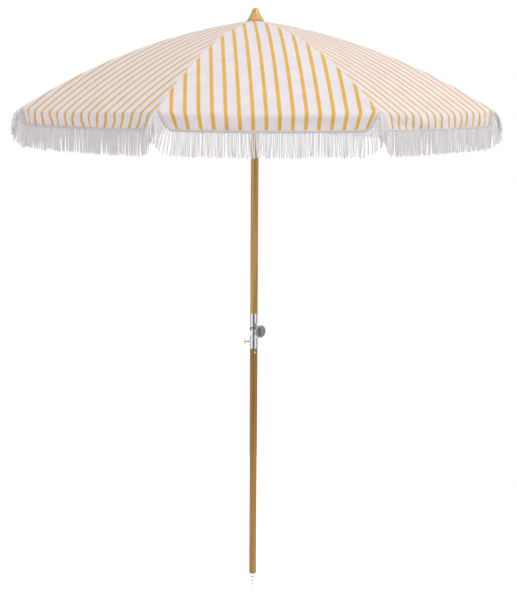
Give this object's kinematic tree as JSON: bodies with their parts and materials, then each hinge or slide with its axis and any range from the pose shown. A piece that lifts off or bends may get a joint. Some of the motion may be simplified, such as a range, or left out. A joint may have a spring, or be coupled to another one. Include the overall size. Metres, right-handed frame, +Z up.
{
  "type": "beach umbrella",
  "caption": "Beach umbrella with a folding striped canopy, hanging flaps with a cotton fringe, a wooden pole, a chromed tilt joint and a ground spike.",
  "frame": {"origin": "tip of the ground spike, on the pole's axis", "axes": "+Z up along the pole, -Y through the middle of the front canopy panel, +X to the right seen from the front"},
  "size_m": [1.5988, 1.5988, 2.2845],
  "materials": {
    "pole_wood": "glossy lacquer",
    "finial_wood": "satin lacquer",
    "chrome": "polished",
    "steel": "zinc plated",
    "hub_wood": "satin lacquer",
    "washer": "moulded",
    "canopy_cloth": "woven cotton, striped",
    "fringe_cotton": "twisted cotton"
  },
  "bodies": {
    "lower_pole": {"ground_spike": "chrome", "lower_pole": "pole_wood", "spigot_tube": "steel", "spigot_rivet": "chrome"},
    "tilt_base": {"tilt_joint_lower": "chrome", "friction_washer": "washer", "pivot_bolt": "chrome"},
    "knob_washer": {"knob_washer": "washer"},
    "tilt_knob": {"tilt_knob": "chrome"},
    "screw_pad": {"thumb_screw_pad": "steel"},
    "thumb_screw": {"thumb_screw": "chrome"},
    "mast": {"tilt_joint_upper": "chrome", "upper_rivet": "chrome", "upper_pole": "pole_wood", "runner_catch": "steel", "crown": "hub_wood", "crown_pins": "steel", "apex_patch": "canopy_cloth", "finial_screw": "steel", "finial": "finial_wood"},
    "runner": {"runner": "hub_wood", "runner_pins": "steel"},
    "rib_1": {"rib_1": "steel", "canopy_1": "canopy_cloth", "valance_1": "canopy_cloth"},
    "stretcher_1": {"stretcher_1": "steel"},
    "rib_2": {"rib_2": "steel", "canopy_2": "canopy_cloth", "valance_2": "canopy_cloth"},
    "stretcher_2": {"stretcher_2": "steel"},
    "rib_3": {"rib_3": "steel", "canopy_3": "canopy_cloth", "valance_3": "canopy_cloth"},
    "stretcher_3": {"stretcher_3": "steel"},
    "rib_4": {"rib_4": "steel", "canopy_4": "canopy_cloth", "valance_4": "canopy_cloth"},
    "stretcher_4": {"stretcher_4": "steel"},
    "rib_5": {"rib_5": "steel", "canopy_5": "canopy_cloth", "valance_5": "canopy_cloth"},
    "stretcher_5": {"stretcher_5": "steel"},
    "rib_6": {"rib_6": "steel", "canopy_6": "canopy_cloth", "valance_6": "canopy_cloth"},
    "stretcher_6": {"stretcher_6": "steel"},
    "rib_7": {"rib_7": "steel", "canopy_7": "canopy_cloth", "valance_7": "canopy_cloth"},
    "stretcher_7": {"stretcher_7": "steel"},
    "rib_8": {"rib_8": "steel", "canopy_8": "canopy_cloth", "valance_8": "canopy_cloth"},
    "stretcher_8": {"stretcher_8": "steel"}
  },
  "joints": [
    {"name": "pole_pull", "type": "slide", "parent": "lower_pole", "child": "tilt_base", "axis": [0, 0, 1], "range_m": [0, 0.053]},
    {"name": "canopy_tilt", "type": "hinge", "parent": "tilt_base", "child": "mast", "pos_m": [0, 0, 1.0865], "axis": [0.5299, -0.848, 0], "range_deg": [-45, 45]},
    {"name": "knob_travel", "type": "slide", "parent": "tilt_base", "child": "knob_washer", "axis": [0.5299, -0.848, 0], "range_m": [0, 0.003]},
    {"name": "knob_turn", "type": "hinge", "parent": "knob_washer", "child": "tilt_knob", "pos_m": [0, 0, 1.0865], "axis": [0.5299, -0.848, 0], "range_deg": [0, 720]},
    {"name": "screw_travel", "type": "slide", "parent": "tilt_base", "child": "screw_pad", "axis": [-1, 0, 0], "range_m": [0, 0.002]},
    {"name": "screw_turn", "type": "hinge", "parent": "screw_pad", "child": "thumb_screw", "pos_m": [-0.034, 0, 1.0385], "axis": [-1, 0, 0], "range_deg": [0, 720]},
    {"name": "canopy_fold", "type": "hinge", "parent": "mast", "child": "rib_1", "pos_m": [0.02033, 0.00842, 2.22836], "axis": [-0.3827, 0.9239, 0], "range_deg": [0, 61], "deforming": ["canopy_1", "valance_1", "canopy_2", "valance_2", "canopy_3", "valance_3", "canopy_4", "valance_4", "canopy_5", "valance_5", "canopy_6", "valance_6", "canopy_7", "valance_7", "canopy_8", "valance_8", "runner_catch"]},
    {"name": "stretcher_fold_1", "type": "hinge", "parent": "rib_1", "child": "stretcher_1", "pos_m": [0.38298, 0.15863, 2.12863], "axis": [-0.3827, 0.9239, 0], "range_deg": [-122, 0]},
    {"name": "rib_fold_2", "type": "hinge", "parent": "mast", "child": "rib_2", "pos_m": [0.00842, 0.02033, 2.22836], "axis": [-0.9239, 0.3827, 0], "range_deg": [0, 61]},
    {"name": "stretcher_fold_2", "type": "hinge", "parent": "rib_2", "child": "stretcher_2", "pos_m": [0.15863, 0.38298, 2.12863], "axis": [-0.9239, 0.3827, 0], "range_deg": [-122, 0]},
    {"name": "rib_fold_3", "type": "hinge", "parent": "mast", "child": "rib_3", "pos_m": [-0.00842, 0.02033, 2.22836], "axis": [-0.9239, -0.3827, 0], "range_deg": [0, 61]},
    {"name": "stretcher_fold_3", "type": "hinge", "parent": "rib_3", "child": "stretcher_3", "pos_m": [-0.15863, 0.38298, 2.12863], "axis": [-0.9239, -0.3827, 0], "range_deg": [-122, 0]},
    {"name": "rib_fold_4", "type": "hinge", "parent": "mast", "child": "rib_4", "pos_m": [-0.02033, 0.00842, 2.22836], "axis": [-0.3827, -0.9239, 0], "range_deg": [0, 61]},
    {"name": "stretcher_fold_4", "type": "hinge", "parent": "rib_4", "child": "stretcher_4", "pos_m": [-0.38298, 0.15863, 2.12863], "axis": [-0.3827, -0.9239, 0], "range_deg": [-122, 0]},
    {"name": "rib_fold_5", "type": "hinge", "parent": "mast", "child": "rib_5", "pos_m": [-0.02033, -0.00842, 2.22836], "axis": [0.3827, -0.9239, 0], "range_deg": [0, 61]},
    {"name": "stretcher_fold_5", "type": "hinge", "parent": "rib_5", "child": "stretcher_5", "pos_m": [-0.38298, -0.15863, 2.12863], "axis": [0.3827, -0.9239, 0], "range_deg": [-122, 0]},
    {"name": "rib_fold_6", "type": "hinge", "parent": "mast", "child": "rib_6", "pos_m": [-0.00842, -0.02033, 2.22836], "axis": [0.9239, -0.3827, 0], "range_deg": [0, 61]},
    {"name": "stretcher_fold_6", "type": "hinge", "parent": "rib_6", "child": "stretcher_6", "pos_m": [-0.15863, -0.38298, 2.12863], "axis": [0.9239, -0.3827, 0], "range_deg": [-122, 0]},
    {"name": "rib_fold_7", "type": "hinge", "parent": "mast", "child": "rib_7", "pos_m": [0.00842, -0.02033, 2.22836], "axis": [0.9239, 0.3827, 0], "range_deg": [0, 61]},
    {"name": "stretcher_fold_7", "type": "hinge", "parent": "rib_7", "child": "stretcher_7", "pos_m": [0.15863, -0.38298, 2.12863], "axis": [0.9239, 0.3827, 0], "range_deg": [-122, 0]},
    {"name": "rib_fold_8", "type": "hinge", "parent": "mast", "child": "rib_8", "pos_m": [0.02033, -0.00842, 2.22836], "axis": [0.3827, 0.9239, 0], "range_deg": [0, 61]},
    {"name": "stretcher_fold_8", "type": "hinge", "parent": "rib_8", "child": "stretcher_8", "pos_m": [0.38298, -0.15863, 2.12863], "axis": [0.3827, 0.9239, 0], "range_deg": [-122, 0]},
    {"name": "runner_slide", "type": "hinge", "parent": "stretcher_1", "child": "runner", "pos_m": [0.02033, 0.00842, 2.02891], "axis": [-0.3827, 0.9239, 0], "range_deg": [0, 61]}
  ],
  "couplings": [
    {"joint": "knob_turn", "follows": "knob_travel", "rad_per_m": 4188.8},
    {"joint": "screw_turn", "follows": "screw_travel", "rad_per_m": 6283.2},
    {"joint": "stretcher_fold_1", "follows": "canopy_fold", "ratio": -2},
    {"joint": "rib_fold_2", "follows": "canopy_fold", "ratio": 1},
    {"joint": "stretcher_fold_2", "follows": "canopy_fold", "ratio": -2},
    {"joint": "rib_fold_3", "follows": "canopy_fold", "ratio": 1},
    {"joint": "stretcher_fold_3", "follows": "canopy_fold", "ratio": -2},
    {"joint": "rib_fold_4", "follows": "canopy_fold", "ratio": 1},
    {"joint": "stretcher_fold_4", "follows": "canopy_fold", "ratio": -2},
    {"joint": "rib_fold_5", "follows": "canopy_fold", "ratio": 1},
    {"joint": "stretcher_fold_5", "follows": "canopy_fold", "ratio": -2},
    {"joint": "rib_fold_6", "follows": "canopy_fold", "ratio": 1},
    {"joint": "stretcher_fold_6", "follows": "canopy_fold", "ratio": -2},
    {"joint": "rib_fold_7", "follows": "canopy_fold", "ratio": 1},
    {"joint": "stretcher_fold_7", "follows": "canopy_fold", "ratio": -2},
    {"joint": "rib_fold_8", "follows": "canopy_fold", "ratio": 1},
    {"joint": "stretcher_fold_8", "follows": "canopy_fold", "ratio": -2},
    {"joint": "runner_slide", "follows": "canopy_fold", "ratio": 1}
  ]
}
